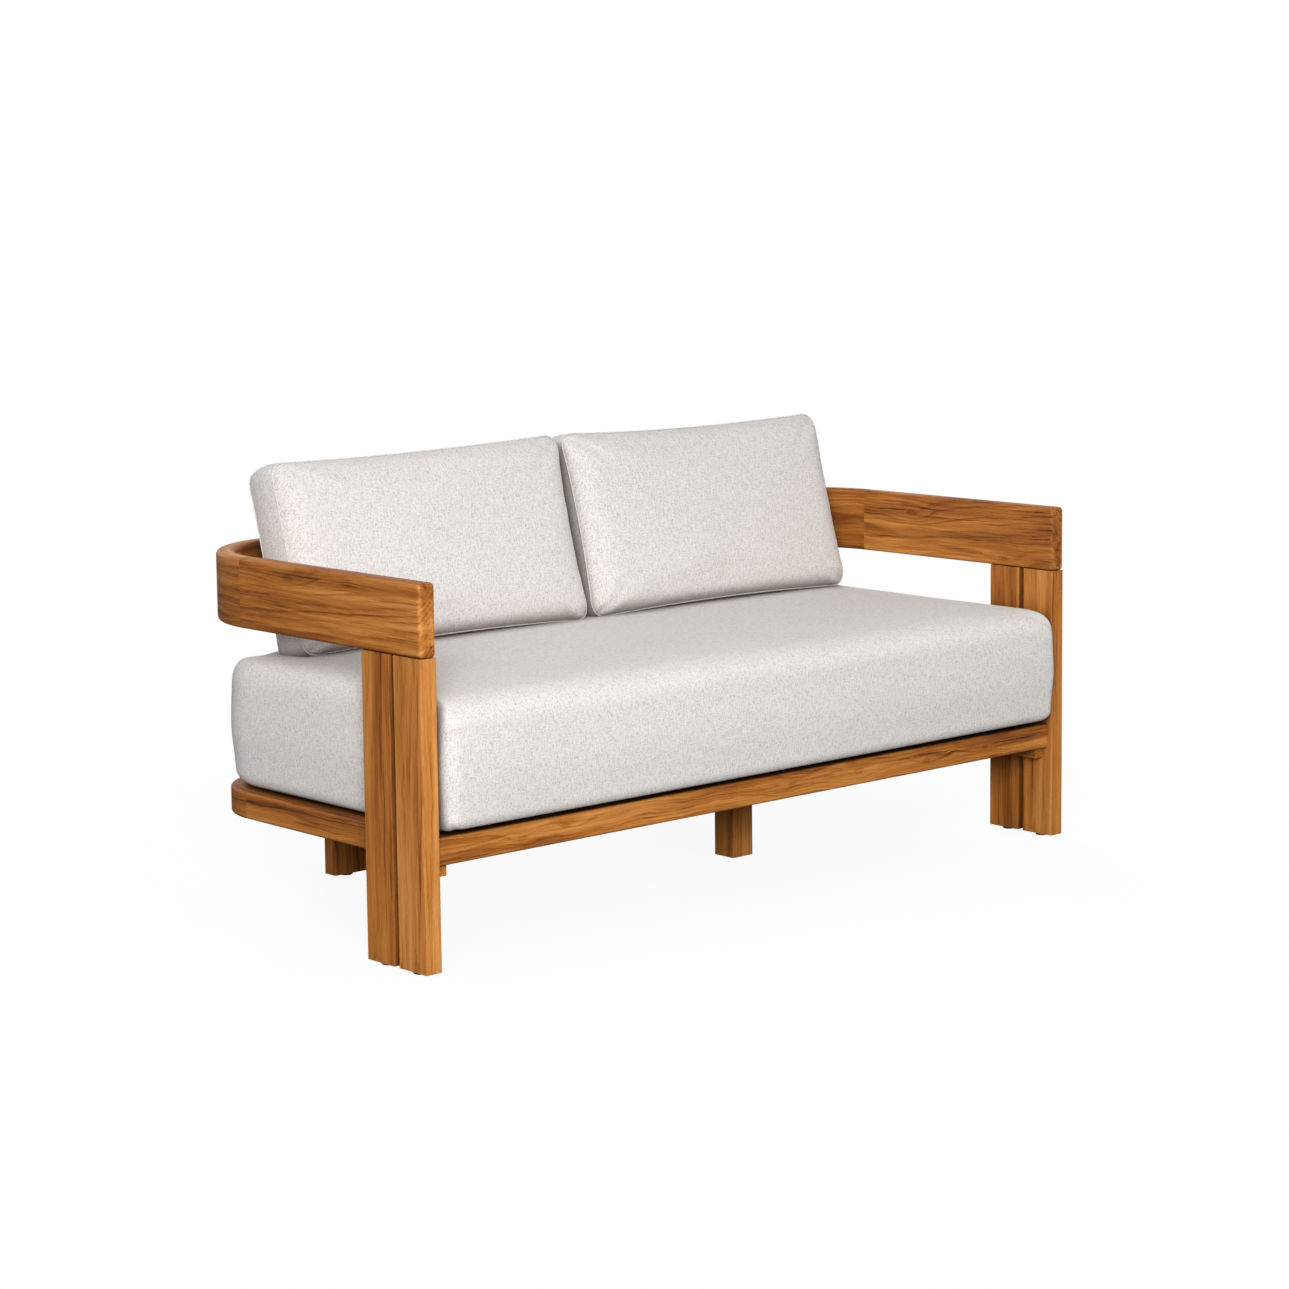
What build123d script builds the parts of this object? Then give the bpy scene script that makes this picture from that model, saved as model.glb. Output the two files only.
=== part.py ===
from build123d import *
import math
import os

# Patio loveseat: a bent board band on double-plank legs, a slatted base frame and three loose cushions.
# Frame: +X to a viewer's right, the front faces -Y, +Z up, origin on the floor at the middle of the whole.
# All sizes are in millimetres.

# Whole object
overall_width = 1650
frame_depth = 770
cushion_overhang = 30      # seat cushion in front of the front legs

# Band: arms, bent corners and back
board_thickness = 35
band_height = 129
band_clearance = 69        # open height between the seat cushion and the band
band_corner_radius = 240
band_edge_round = 8
arm_end_round = 7

# Legs: pairs of upright planks
plank_width = 78
plank_gap = 12
plank_edge_round = 3.5
rear_leg_inset = 345       # from the outside of the arm to the outside of a rear leg
glide_thickness = 5
glide_radius = 13
glide_edge_round = 1.5
glide_pin_radius = 2
glide_pin_length = 16

# Base frame
rail_bottom = 187
rail_height = 50
rail_width = 50
rail_edge_round = 5
front_rail_setback = 10    # behind the front of the legs
base_corner_radius = 155

# Seat support
slat_count = 8
slat_width = 58
slat_thickness = 18
slat_end_gap = 2
slat_edge_round = 2
bearer_width = 45
bearer_offset = 210        # each side of the middle
ledger_width = 25
ledger_height = 22
support_post_width = 55
support_post_setback = 294 # from the front of the front rail to the front of the post

# Cleats under the base frame, fixed to the legs
cleat_width = 28
cleat_height = 20
cleat_front_setback = 20
cleat_rear_setback = 8

# Fasteners
fit_gap = 0.1              # radial gap of glued, screwed and driven pieces
dowel_radius = 5
dowel_depth = 30           # into each of the two joined pieces
band_dowel_spacing = 36
rail_dowel_spacing = 26
rail_end_dowel_setback = 11 # from the front face of the front rail
rail_end_dowel_depth = 22  # into the leg
bearer_dowel_spacing = 22
plank_dowel_spacing = 38
bolt_radius = 4
bolt_head_radius = 7
bolt_head_height = 8
bolt_head_sink = 10
bolt_reach = 18            # into the insert
bolt_socket_width = 6
bolt_socket_depth = 4
insert_radius = 6
insert_length = 24
screw_radius = 2
screw_head_radius = 4.5
screw_head_height = 3
slat_screw_length = 34
cleat_screw_length = 48
ledger_screw_length = 50
post_screw_length = 70
post_screw_spacing = 26

# Cushions
seat_cushion_side_gap = 7  # to the inner faces of the legs
seat_cushion_rear_gap = 9
seat_cushion_thickness = 245
seat_cushion_front_corner = 60
seat_cushion_rear_corner = 140
seat_cushion_edge = 44
seat_cushion_bow = 9
back_cushion_height = 378
back_cushion_thickness = 181
back_cushion_corner = 52
back_cushion_edge = 40
back_cushion_bow = 7
back_cushion_lean = 15     # degrees
back_cushion_split = 4
back_board_gap = 5         # behind the back cushions, at the top of the band
back_corner_gap = 4        # from the right cushion's rear seam to the bent corner
back_pair_slack = 46       # left free at the left end, as the pair sits a little to the right
cushion_rest_gap = 0.3
rest_trial_count = 81      # places where the back cushion is tried against the crown below it
core_margin = 46           # foam core inside the cover
back_core_margin = 44
core_round = 12
core_gap = 0.5

# Height shares of the seat cushion with its inset there, as a share of its edge
seat_profile_shares = [
    (0.0, 1.0), (0.02, 0.68), (0.06, 0.4), (0.13, 0.18), (0.25, 0.04), (0.42, 0.0), (0.62, 0.0),
    (0.74, 0.08), (0.83, 0.28), (0.9, 0.62), (0.945, 1.15), (0.975, 2.2), (0.992, 3.8), (1.0, 5.6),
]
# Thickness shares of a back cushion with its inset there, as a share of its edge
rear_seam_share = 0.65
back_profile_shares = [
    (0.0, 3.0), (0.03, 2.3), (0.08, 1.5), (0.15, 0.75), (0.21, 0.25), (0.27, 0.04), (0.46, 0.0),
    (rear_seam_share, 0.04), (0.72, 0.3), (0.8, 0.8), (0.89, 1.5), (0.96, 2.3), (1.0, 3.0),
]

# Worked-out places
side = {"left": -1, "right": 1}
quarter_turn = 90
half_width = overall_width / 2
leg_inner = half_width - board_thickness
leg_front = -(frame_depth + cushion_overhang) / 2 + cushion_overhang
band_rear = leg_front + frame_depth
back_inner = band_rear - board_thickness
band_corner_x = half_width - band_corner_radius
band_corner_y = band_rear - band_corner_radius
leg_depth = 2 * plank_width + plank_gap
leg_rear = leg_front + leg_depth
rear_leg_outer = half_width - rear_leg_inset
rail_top = rail_bottom + rail_height
rail_middle = rail_bottom + rail_height / 2
band_bottom = rail_top + seat_cushion_thickness + band_clearance
band_top = band_bottom + band_height
band_middle = band_bottom + band_height / 2
front_rail_front = leg_front + front_rail_setback
front_rail_rear = front_rail_front + rail_width
rear_rail_front = back_inner - rail_width
side_rail_inner = leg_inner - rail_width
base_corner_x = leg_inner - base_corner_radius
base_corner_y = back_inner - base_corner_radius
base_corner_inner = base_corner_radius - rail_width
slat_bottom = rail_top - slat_thickness
ledger_bottom = slat_bottom - ledger_height
bearer_middle = (rail_bottom + slat_bottom) / 2
ledger_middle = ledger_bottom + ledger_height / 2
cleat_bottom = rail_bottom - cleat_height
cleat_middle = cleat_bottom + cleat_height / 2
post_front = front_rail_front + support_post_setback
post_centre_y = post_front + support_post_width / 2
seat_cushion_bottom = rail_top + cushion_rest_gap
seat_cushion_top = seat_cushion_bottom + seat_cushion_thickness
seat_cushion_front = leg_front - cushion_overhang
seat_cushion_rear = back_inner - seat_cushion_rear_gap
seat_cushion_side = leg_inner - seat_cushion_side_gap

# Back cushions: they lean on the top of the back board, and the right one fits beside the bent corner
lean = math.radians(back_cushion_lean)
band_rise = (band_top - seat_cushion_top) * math.tan(lean)
back_cushion_front = back_inner - back_board_gap - back_cushion_thickness - band_rise
rear_seam = back_cushion_front + back_cushion_thickness * rear_seam_share + band_rise
corner_inner = band_corner_radius - board_thickness
corner_depth = max(0, rear_seam - band_corner_y)
back_pair_right = band_corner_x + math.sqrt(corner_inner ** 2 - corner_depth ** 2) - back_corner_gap
back_pair_left = back_pair_slack - back_pair_right
back_cushion_width = (back_pair_right - back_pair_left - back_cushion_split) / 2
back_cushion_centre = {
    "left": back_pair_left + back_cushion_width / 2,
    "right": back_pair_right - back_cushion_width / 2,
}


def block(x, y, z):
    """Box between two places along each axis, given in either order."""
    low = [min(pair) for pair in (x, y, z)]
    size = [abs(pair[1] - pair[0]) for pair in (x, y, z)]
    return Pos(*low) * Box(*size, align=(Align.MIN, Align.MIN, Align.MIN))


def rod(radius, start, end):
    """Round bar from one point to another along an axis."""
    path = Vector(*end) - Vector(*start)
    return Plane(origin=start, z_dir=path) * Cylinder(
        radius, path.length, align=(Align.CENTER, Align.CENTER, Align.MIN))


def screw(start, end):
    """Countersunk screw from its head's face at start to its tip at end."""
    path = Vector(*end) - Vector(*start)
    head = Plane(origin=start, z_dir=path) * Cone(
        screw_head_radius, screw_radius, screw_head_height, align=(Align.CENTER, Align.CENTER, Align.MIN))
    return head + rod(screw_radius, start, end)


def screw_hole(start, end):
    """Clearance for a screw: its own shape grown by the fit gap."""
    path = Vector(*end) - Vector(*start)
    head = Plane(origin=start, z_dir=path) * Cone(
        screw_head_radius + fit_gap, screw_radius + fit_gap, screw_head_height,
        align=(Align.CENTER, Align.CENTER, Align.MIN))
    tip = Vector(*end) + path.normalized() * fit_gap
    return head + rod(screw_radius + fit_gap, start, tuple(tip))


def along(count, first, last):
    """Evenly spread places from first to last."""
    return [first + (last - first) * index / (count - 1) for index in range(count)]


def rounded_section(plane, width, height, round_radius):
    return plane * RectangleRounded(width, height, round_radius)


def plank(x, y):
    """Upright leg plank with eased long edges, from the glide to the underside of the band."""
    piece = block(x, y, (glide_thickness, band_bottom))
    return fillet(piece.edges().filter_by(Axis.Z), plank_edge_round)


# Legs: where each plank stands
planks = {}
for name, sign in side.items():
    outer, inner = sign * half_width, sign * leg_inner
    planks[f"front_leg_{name}_fore_plank"] = ((outer, inner), (leg_front, leg_front + plank_width))
    planks[f"front_leg_{name}_aft_plank"] = ((outer, inner), (leg_rear - plank_width, leg_rear))
    far = sign * rear_leg_outer
    near = sign * (rear_leg_outer - leg_depth)
    planks[f"rear_leg_{name}_outer_plank"] = ((far, far - sign * plank_width), (back_inner, band_rear))
    planks[f"rear_leg_{name}_inner_plank"] = ((near + sign * plank_width, near), (back_inner, band_rear))


def is_front(name):
    return name.startswith("front")


def plank_centre(name):
    x, y = planks[name]
    return sum(x) / 2, sum(y) / 2


def dowel_pair(name):
    """Two places across a plank's width, in line with its middle."""
    x, y = plank_centre(name)
    half = plank_dowel_spacing / 2
    if is_front(name):
        return [(x, y - half), (x, y + half)]
    return [(x - half, y), (x + half, y)]


# Dowels: each line is a start and an end, used for the pin and for its holes
band_dowel_lines = []
for sign in side.values():
    for step in (-1, 0, 1):
        height = band_middle + step * band_dowel_spacing
        across = sign * (half_width - board_thickness / 2)
        band_dowel_lines.append((
            (across, band_corner_y - dowel_depth, height), (across, band_corner_y + dowel_depth, height)))
        depth = band_rear - board_thickness / 2
        band_dowel_lines.append((
            (sign * (band_corner_x - dowel_depth), depth, height),
            (sign * (band_corner_x + dowel_depth), depth, height)))

base_dowel_lines = []
rail_end_dowel_y = front_rail_front + rail_end_dowel_setback
for sign in side.values():
    for step in (-1, 1):
        height = rail_middle + step * rail_dowel_spacing / 2
        across = sign * (leg_inner - rail_width / 2)
        base_dowel_lines.append((
            (across, front_rail_rear - dowel_depth, height), (across, front_rail_rear + dowel_depth, height)))
        base_dowel_lines.append((
            (across, base_corner_y - dowel_depth, height), (across, base_corner_y + dowel_depth, height)))
        depth = back_inner - rail_width / 2
        base_dowel_lines.append((
            (sign * (base_corner_x - dowel_depth), depth, height),
            (sign * (base_corner_x + dowel_depth), depth, height)))
        base_dowel_lines.append((
            (sign * (leg_inner - dowel_depth), rail_end_dowel_y, height),
            (sign * (leg_inner + rail_end_dowel_depth), rail_end_dowel_y, height)))
        across = sign * bearer_offset + step * bearer_dowel_spacing / 2
        for end in (front_rail_rear, rear_rail_front):
            base_dowel_lines.append((
                (across, end - dowel_depth, bearer_middle), (across, end + dowel_depth, bearer_middle)))

plank_dowel_lines = []
for name in planks:
    for x, y in dowel_pair(name):
        plank_dowel_lines.append(((x, y, band_bottom - dowel_depth), (x, y, band_bottom + dowel_depth)))


def dowel_holes(lines):
    holes = []
    for start, end in lines:
        path = (Vector(*end) - Vector(*start)).normalized() * fit_gap
        holes.append(rod(dowel_radius + fit_gap, tuple(Vector(*start) - path), tuple(Vector(*end) + path)))
    return holes


band_holes = dowel_holes(band_dowel_lines + plank_dowel_lines)
base_holes = dowel_holes(base_dowel_lines)

# Bolts: through the ledger and side rail, or the rear rail, into an insert in a plank.
# The fore planks have none: the front rail's ends are dowelled to them.
bolt_places = []
for name in planks:
    x, y = plank_centre(name)
    if name.endswith("aft_plank"):
        sign = math.copysign(1, x)
        mouth = Vector(sign * (side_rail_inner - ledger_width), y, ledger_middle)
        face = Vector(sign * leg_inner, y, ledger_middle)
        bolt_places.append((mouth, face, Vector(sign, 0, 0)))
    elif not is_front(name):
        mouth = Vector(x, rear_rail_front, rail_middle)
        bolt_places.append((mouth, Vector(x, back_inner, rail_middle), Vector(0, 1, 0)))


def bolt(mouth, face, out):
    """Socket-head bolt: the head lies sunk in the wood, the shank runs into the insert."""
    head = mouth + out * bolt_head_sink
    tip = face + out * bolt_reach
    cap_end = head - out * bolt_head_height
    body = rod(bolt_radius, tuple(head), tuple(tip)) + rod(bolt_head_radius, tuple(cap_end), tuple(head))
    socket = Plane(origin=tuple(cap_end), z_dir=out) * extrude(
        RegularPolygon(bolt_socket_width / 2, 6, major_radius=False), bolt_socket_depth)
    return body - socket


def bolt_hole(mouth, face, out):
    head = mouth + out * bolt_head_sink
    shank = rod(bolt_radius + fit_gap, tuple(head), tuple(face))
    return shank + rod(bolt_head_radius + fit_gap, tuple(mouth), tuple(head))


def insert(mouth, face, out):
    sleeve = rod(insert_radius, tuple(face), tuple(face + out * insert_length))
    return sleeve - rod(bolt_radius + fit_gap, tuple(face), tuple(face + out * insert_length))


def insert_hole(mouth, face, out):
    return rod(insert_radius + fit_gap, tuple(face), tuple(face + out * (insert_length + fit_gap)))


# Screws: start at the head's face, end at the tip
slat_gap = (rear_rail_front - front_rail_rear - slat_count * slat_width) / (slat_count + 1)
slat_margin = slat_gap + slat_width / 2
slat_places = along(slat_count, front_rail_rear + slat_margin, rear_rail_front - slat_margin)


def slat_half_length(y):
    """A slat reaches the side rail, or the inside of the bent corner at its far edge."""
    far = y + slat_width / 2
    if far <= base_corner_y:
        return side_rail_inner - slat_end_gap
    rise = far - base_corner_y
    return base_corner_x + math.sqrt(base_corner_inner ** 2 - rise ** 2) - slat_end_gap


def slat_screw_places(y):
    places = [sign * bearer_offset for sign in side.values()]
    if y + slat_width / 2 <= base_corner_y:
        places += [sign * (side_rail_inner - ledger_width / 2) for sign in side.values()]
    return places


slat_screw_lines = []
for y in slat_places:
    for x in slat_screw_places(y):
        slat_screw_lines.append(((x, y, rail_top), (x, y, rail_top - slat_screw_length)))

ledger_screw_lines = []
gap_places = [(before + after) / 2 for before, after in zip(slat_places, slat_places[1:])]
ledger_screw_places = [y for y in gap_places if leg_rear < y < base_corner_y - dowel_depth]
for sign in side.values():
    face = sign * (side_rail_inner - ledger_width)
    for y in ledger_screw_places:
        ledger_screw_lines.append((
            (face, y, ledger_middle), (face + sign * ledger_screw_length, y, ledger_middle)))

cleat_screw_lines = []
for name in planks:
    x, y = plank_centre(name)
    if is_front(name):
        sign = math.copysign(1, x)
        start = (sign * (leg_inner - cleat_width), y, cleat_middle)
        end = (sign * (leg_inner - cleat_width + cleat_screw_length), y, cleat_middle)
    else:
        start = (x, back_inner - cleat_width, cleat_middle)
        end = (x, back_inner - cleat_width + cleat_screw_length, cleat_middle)
    cleat_screw_lines.append((start, end))

post_screw_lines = []
for step in (-1, 1):
    x = bearer_offset + step * post_screw_spacing / 2
    tip = slat_bottom - post_screw_length
    post_screw_lines.append(((x, post_centre_y, slat_bottom), (x, post_centre_y, tip)))


def cut(piece, tools):
    """Take away only the tools that meet the piece."""
    box = piece.bounding_box()
    near = []
    for tool in tools:
        other = tool.bounding_box()
        apart = any(
            getattr(other.max, axis) < getattr(box.min, axis) or getattr(other.min, axis) > getattr(box.max, axis)
            for axis in ("X", "Y", "Z"))
        if not apart:
            near.append(tool)
    return piece - near if near else piece


screw_lines = {
    "slat_screws": slat_screw_lines,
    "ledger_screws": ledger_screw_lines,
    "cleat_screws": cleat_screw_lines,
    "support_post_screws": post_screw_lines,
}
screw_holes = [screw_hole(*line) for lines in screw_lines.values() for line in lines]
bolt_holes = [bolt_hole(*place) for place in bolt_places]
insert_holes = [insert_hole(*place) for place in bolt_places]


def glide(x, y):
    """Round plastic foot with a pin that is driven up into the leg."""
    disc = Pos(x, y, 0) * Cylinder(glide_radius, glide_thickness, align=(Align.CENTER, Align.CENTER, Align.MIN))
    disc = fillet(disc.edges().sort_by(Axis.Z)[0], glide_edge_round)
    return disc + rod(glide_pin_radius, (x, y, 0), (x, y, glide_thickness + glide_pin_length))


def glide_hole(x, y):
    top = glide_thickness + glide_pin_length + fit_gap
    return rod(glide_pin_radius + fit_gap, (x, y, glide_thickness), (x, y, top))


def seat_outline(level, inset):
    """Closed seat outline at one height: small front corners, large rear ones, slightly bowed edges."""
    outer = seat_cushion_side - inset
    front = seat_cushion_front + inset
    rear = seat_cushion_rear - inset
    shrink = (rear - front) / (seat_cushion_rear - seat_cushion_front)
    small, large = seat_cushion_front_corner * shrink, seat_cushion_rear_corner * shrink
    diagonal = 1 - math.sqrt(0.5)
    bow = seat_cushion_bow
    front_left = (-outer + small, front + bow)
    front_right = (outer - small, front + bow)
    right_low = (outer, front + bow + small)
    right_high = (outer, rear - large)
    rear_right = (outer - large, rear)
    rear_left = (-outer + large, rear)
    left_high = (-outer, rear - large)
    left_low = (-outer, front + bow + small)
    edges = [
        ThreePointArc(front_left, (0, front), front_right),
        ThreePointArc(front_right, (outer - small * diagonal, front + bow + small * diagonal), right_low),
        Line(right_low, right_high),
        ThreePointArc(right_high, (outer - large * diagonal, rear - large * diagonal), rear_right),
        Line(rear_right, rear_left),
        ThreePointArc(rear_left, (-outer + large * diagonal, rear - large * diagonal), left_high),
        Line(left_high, left_low),
        ThreePointArc(left_low, (-outer + small * diagonal, front + bow + small * diagonal), front_left),
    ]
    return Pos(0, 0, level) * make_face(edges)


def seat_form():
    sections = []
    for height_share, inset_share in seat_profile_shares:
        level = seat_cushion_bottom + seat_cushion_thickness * height_share
        sections.append(seat_outline(level, seat_cushion_edge * inset_share))
    return loft(sections, ruled=True)


def interpolate(rows, place):
    """Value at a place in rows of places and values, with straight lines between them."""
    for (start, low), (end, high) in zip(rows, rows[1:]):
        if start <= place <= end:
            return low + (high - low) * (place - start) / (end - start)
    return rows[-1][1]


widest_row = max(index for index, row in enumerate(seat_profile_shares) if row[1] == 0)
crown_rows = [(inset_share, height_share) for height_share, inset_share in seat_profile_shares[widest_row:]]


def rest_height(depth_share):
    """Lowest a back cushion's bottom may lie for one place of its thickness to clear the seat's crown."""
    inset = back_cushion_edge * interpolate(back_profile_shares, depth_share)
    depth = back_cushion_front + back_cushion_thickness * depth_share + inset * math.sin(lean)
    reach_share = (seat_cushion_rear - depth) / seat_cushion_edge
    crown = seat_cushion_bottom + seat_cushion_thickness * interpolate(crown_rows, reach_share)
    return crown - inset * math.cos(lean)


back_cushion_bottom = cushion_rest_gap + max(rest_height(share) for share in along(rest_trial_count, 0, 1))


def back_outline(depth, inset):
    """Closed outline in a plane parallel to the leaning face: round corners, drawn-in edges."""
    half = back_cushion_width / 2 - inset
    low = inset
    high = back_cushion_height - inset
    shrink = (high - low) / back_cushion_height
    corner = back_cushion_corner * shrink
    bow = back_cushion_bow * shrink
    near = corner * (1 - math.sqrt(0.5))
    middle = (low + high) / 2
    points = {
        "bottom_left": (-half + corner, low), "bottom_right": (half - corner, low),
        "right_low": (half, low + corner), "right_high": (half, high - corner),
        "top_right": (half - corner, high), "top_left": (-half + corner, high),
        "left_high": (-half, high - corner), "left_low": (-half, low + corner),
    }
    edges = [
        Line(points["bottom_left"], points["bottom_right"]),
        ThreePointArc(points["bottom_right"], (half - near, low + near), points["right_low"]),
        ThreePointArc(points["right_low"], (half - bow, middle), points["right_high"]),
        ThreePointArc(points["right_high"], (half - near, high - near), points["top_right"]),
        ThreePointArc(points["top_right"], (0, high - bow), points["top_left"]),
        ThreePointArc(points["top_left"], (-half + near, high - near), points["left_high"]),
        ThreePointArc(points["left_high"], (-half + bow, middle), points["left_low"]),
        ThreePointArc(points["left_low"], (-half + near, low + near), points["bottom_left"]),
    ]
    leaning = Plane(
        origin=(0, depth, back_cushion_bottom), x_dir=(1, 0, 0), z_dir=(0, -math.cos(lean), math.sin(lean)))
    return leaning * make_face(edges)


def back_form(centre):
    sections = []
    for depth_share, inset_share in back_profile_shares:
        depth = back_cushion_front + back_cushion_thickness * depth_share
        sections.append(back_outline(depth, back_cushion_edge * inset_share))
    return Pos(centre, 0, 0) * loft(sections, ruled=True)


def seat_core(grow):
    margin = core_margin - grow
    low = seat_cushion_bottom + margin / 2
    piece = block(
        (-seat_cushion_side + margin, seat_cushion_side - margin),
        (seat_cushion_front + seat_cushion_bow + margin, seat_cushion_rear - margin),
        (low, seat_cushion_top - margin))
    return fillet(piece.edges().filter_by(Axis.Z), core_round + grow)


def back_core(centre, grow):
    """Slab of foam that leans as its cover does."""
    margin = back_core_margin - grow
    low, high = margin, back_cushion_height - margin
    front = back_cushion_front + margin
    rear = back_cushion_front + back_cushion_thickness - margin
    corners = [
        (depth + height * math.sin(lean), back_cushion_bottom + height * math.cos(lean))
        for depth, height in ((front, low), (rear, low), (rear, high), (front, high))]
    profile = Plane.YZ * make_face(Polyline(*corners, close=True))
    half = back_cushion_width / 2 - margin
    return Pos(centre, 0, 0) * extrude(profile, half, both=True)


parts = {}

# Band
arm_centre = half_width - board_thickness / 2
for name, sign in side.items():
    start = Plane(origin=(sign * arm_centre, band_corner_y, band_middle), x_dir=(1, 0, 0), z_dir=(0, -1, 0))
    section = rounded_section(start, board_thickness, band_height, band_edge_round)
    arm = extrude(section, band_corner_y - leg_front)
    arm = fillet(arm.faces().sort_by(Axis.Y)[0].edges(), arm_end_round)
    parts[f"arm_board_{name}"] = cut(arm, band_holes)

    turn = Axis((sign * band_corner_x, band_corner_y, 0), (0, 0, 1))
    corner = revolve(section, turn, sign * quarter_turn)
    parts[f"back_corner_{name}"] = cut(corner, band_holes)

back_start = Plane(
    origin=(-band_corner_x, band_rear - board_thickness / 2, band_middle), x_dir=(0, 1, 0), z_dir=(1, 0, 0))
back_section = rounded_section(back_start, board_thickness, band_height, band_edge_round)
parts["back_board"] = cut(extrude(back_section, 2 * band_corner_x), band_holes)

# Legs and their glides
for name, (x, y) in planks.items():
    tools = insert_holes + screw_holes + band_holes + base_holes + [glide_hole(*plank_centre(name))]
    parts[name] = cut(plank(x, y), tools)
parts["leg_glides"] = [glide(*plank_centre(name)) for name in planks]

# Base frame
front_rail = extrude(
    rounded_section(
        Plane(origin=(-leg_inner, front_rail_front + rail_width / 2, rail_middle), x_dir=(0, 1, 0), z_dir=(1, 0, 0)),
        rail_width, rail_height, rail_edge_round),
    2 * leg_inner)
frame_tools = base_holes + screw_holes + bolt_holes
parts["front_rail"] = cut(front_rail, frame_tools)
for name, sign in side.items():
    start = Plane(
        origin=(sign * (leg_inner - rail_width / 2), base_corner_y, rail_middle), x_dir=(1, 0, 0), z_dir=(0, -1, 0))
    section = rounded_section(start, rail_width, rail_height, rail_edge_round)
    parts[f"side_rail_{name}"] = cut(extrude(section, base_corner_y - front_rail_rear), frame_tools)
    turn = Axis((sign * base_corner_x, base_corner_y, 0), (0, 0, 1))
    parts[f"base_corner_{name}"] = cut(revolve(section, turn, sign * quarter_turn), frame_tools)
rear_section = rounded_section(
    Plane(origin=(-base_corner_x, back_inner - rail_width / 2, rail_middle), x_dir=(0, 1, 0), z_dir=(1, 0, 0)),
    rail_width, rail_height, rail_edge_round)
parts["rear_rail"] = cut(extrude(rear_section, 2 * base_corner_x), frame_tools)

# Cleats
for name, sign in side.items():
    front_cleat = block(
        (sign * leg_inner, sign * (leg_inner - cleat_width)),
        (leg_front + cleat_front_setback, leg_rear - cleat_rear_setback),
        (cleat_bottom, rail_bottom))
    parts[f"front_cleat_{name}"] = cut(front_cleat, screw_holes)
    rear_cleat = block(
        (sign * (rear_leg_outer - cleat_rear_setback), sign * (rear_leg_outer - leg_depth + cleat_rear_setback)),
        (back_inner - cleat_width, back_inner),
        (cleat_bottom, rail_bottom))
    parts[f"rear_cleat_{name}"] = cut(rear_cleat, screw_holes)

# Ledgers, bearers and slats
for name, sign in side.items():
    ledger = block(
        (sign * side_rail_inner, sign * (side_rail_inner - ledger_width)),
        (front_rail_rear, base_corner_y),
        (ledger_bottom, slat_bottom))
    parts[f"slat_ledger_{name}"] = cut(ledger, frame_tools)
    bearer = block(
        (sign * bearer_offset - bearer_width / 2, sign * bearer_offset + bearer_width / 2),
        (front_rail_rear, rear_rail_front),
        (rail_bottom, slat_bottom))
    parts[f"cross_bearer_{name}"] = cut(bearer, frame_tools)
for index, y in enumerate(slat_places, start=1):
    reach = slat_half_length(y)
    slat = block((-reach, reach), (y - slat_width / 2, y + slat_width / 2), (slat_bottom, rail_top))
    slat = fillet(slat.edges().filter_by(Axis.X).group_by(Axis.Z)[-1], slat_edge_round)
    parts[f"seat_slat_{index}"] = cut(slat, screw_holes)

# Middle support post and its glide
post = block(
    (bearer_offset - support_post_width / 2, bearer_offset + support_post_width / 2),
    (post_front, post_front + support_post_width),
    (glide_thickness, rail_bottom))
post = fillet(post.edges().filter_by(Axis.Z), plank_edge_round)
parts["support_post"] = cut(post, screw_holes + [glide_hole(bearer_offset, post_centre_y)])
parts["support_post_glide"] = glide(bearer_offset, post_centre_y)

# Fasteners
parts["band_dowels"] = [rod(dowel_radius, *line) for line in band_dowel_lines]
parts["leg_dowels"] = [rod(dowel_radius, *line) for line in plank_dowel_lines]
parts["base_dowels"] = [rod(dowel_radius, *line) for line in base_dowel_lines]
parts["leg_bolts"] = [bolt(*place) for place in bolt_places]
parts["leg_inserts"] = [insert(*place) for place in bolt_places]
for name, lines in screw_lines.items():
    parts[name] = [screw(*line) for line in lines]

# Cushions
parts["seat_cushion"] = seat_form() - seat_core(core_gap)
parts["seat_cushion_core"] = seat_core(0)
for name, centre in back_cushion_centre.items():
    parts[f"back_cushion_{name}"] = back_form(centre) - back_core(centre, core_gap)
    parts[f"back_cushion_core_{name}"] = back_core(centre, 0)

os.makedirs("parts", exist_ok=True)
for name, piece in parts.items():
    shape = Compound(children=[solid.solid() for solid in piece]) if isinstance(piece, list) else piece
    export_step(shape, f"parts/{name}.step")
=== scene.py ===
import math

import bpy
import numpy as np
from mathutils import Matrix, Vector, kdtree, noise


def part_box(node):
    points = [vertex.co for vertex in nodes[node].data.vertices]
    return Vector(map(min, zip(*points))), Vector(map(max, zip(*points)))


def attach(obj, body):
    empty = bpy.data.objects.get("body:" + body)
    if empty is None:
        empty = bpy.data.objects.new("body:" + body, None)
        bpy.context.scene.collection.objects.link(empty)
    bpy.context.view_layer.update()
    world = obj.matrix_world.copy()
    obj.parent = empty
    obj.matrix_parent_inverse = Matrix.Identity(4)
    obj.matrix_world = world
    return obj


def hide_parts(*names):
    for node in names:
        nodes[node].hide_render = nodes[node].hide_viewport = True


# Patio loveseat: teak board band on double-plank legs, slatted base, three loose cushions.
# Metres, +X to a viewer's right, the front faces -Y, +Z up.

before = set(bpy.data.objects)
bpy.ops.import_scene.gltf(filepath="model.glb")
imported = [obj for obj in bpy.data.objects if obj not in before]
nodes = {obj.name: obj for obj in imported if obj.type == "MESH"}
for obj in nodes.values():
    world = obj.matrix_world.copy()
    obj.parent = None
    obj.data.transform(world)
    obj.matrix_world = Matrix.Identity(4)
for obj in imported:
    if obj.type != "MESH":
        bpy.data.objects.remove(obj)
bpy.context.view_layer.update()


# Camera and light

camera_place = (-3.9984, -4.5027, 1.3586)
camera_yaw = 0.72785
camera_pitch = 0.12291
camera_roll = -0.01151
camera_lens = 87.11
sensor_width = 36
camera_shift_y = -0.0656

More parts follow.
